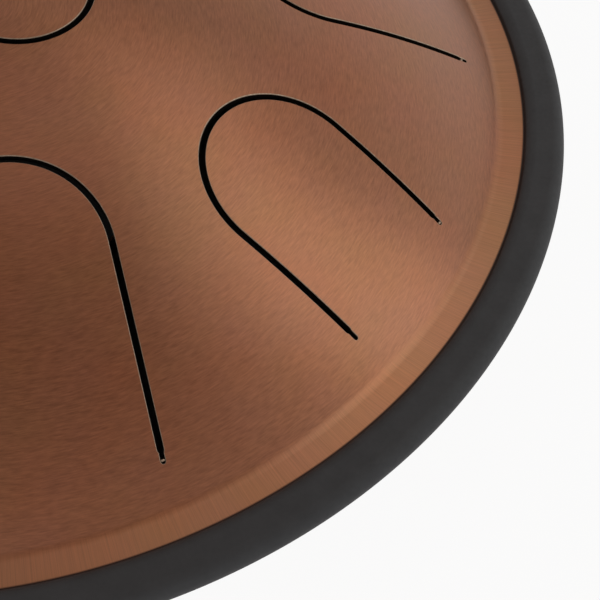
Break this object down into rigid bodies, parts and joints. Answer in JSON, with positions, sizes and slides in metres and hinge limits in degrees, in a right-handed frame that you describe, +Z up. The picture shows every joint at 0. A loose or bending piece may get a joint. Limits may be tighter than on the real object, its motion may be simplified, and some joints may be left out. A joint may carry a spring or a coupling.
{
  "type": "steel tongue drum",
  "caption": "Low domed steel drum with slit tongues in its top shell, a rubber edge ring round the seam, a sound port underneath and screwed rubber feet.",
  "frame": {"origin": "on the drum's axis, at the flat surface that its feet stand on", "axes": "+Z up along the drum's axis; +Y is the way the picture looks, so the side nearest the camera is at -Y; the shortest tongue points 32.2 degrees from +X towards -Y"},
  "size_m": [0.3599, 0.36, 0.1146],
  "materials": {
    "shell_steel": "copper-coloured steel, satin, brushed in circles on the dome and radially on the flange",
    "bond": "cured dark adhesive bead",
    "ring_rubber": "matt charcoal rubber",
    "foot_rubber": "matt black rubber",
    "fastener_steel": "bright zinc plated steel"
  },
  "bodies": {
    "root": {"top_shell": "shell_steel", "bottom_shell": "shell_steel", "flange_bond": "bond", "edge_ring": "ring_rubber", "foot_1": "foot_rubber", "foot_2": "foot_rubber", "foot_3": "foot_rubber", "foot_4": "foot_rubber", "foot_washer_1": "fastener_steel", "foot_washer_2": "fastener_steel", "foot_washer_3": "fastener_steel", "foot_washer_4": "fastener_steel", "foot_screw_1": "fastener_steel", "foot_screw_2": "fastener_steel", "foot_screw_3": "fastener_steel", "foot_screw_4": "fastener_steel", "foot_nut_1": "fastener_steel", "foot_nut_2": "fastener_steel", "foot_nut_3": "fastener_steel", "foot_nut_4": "fastener_steel"}
  },
  "joints": []
}
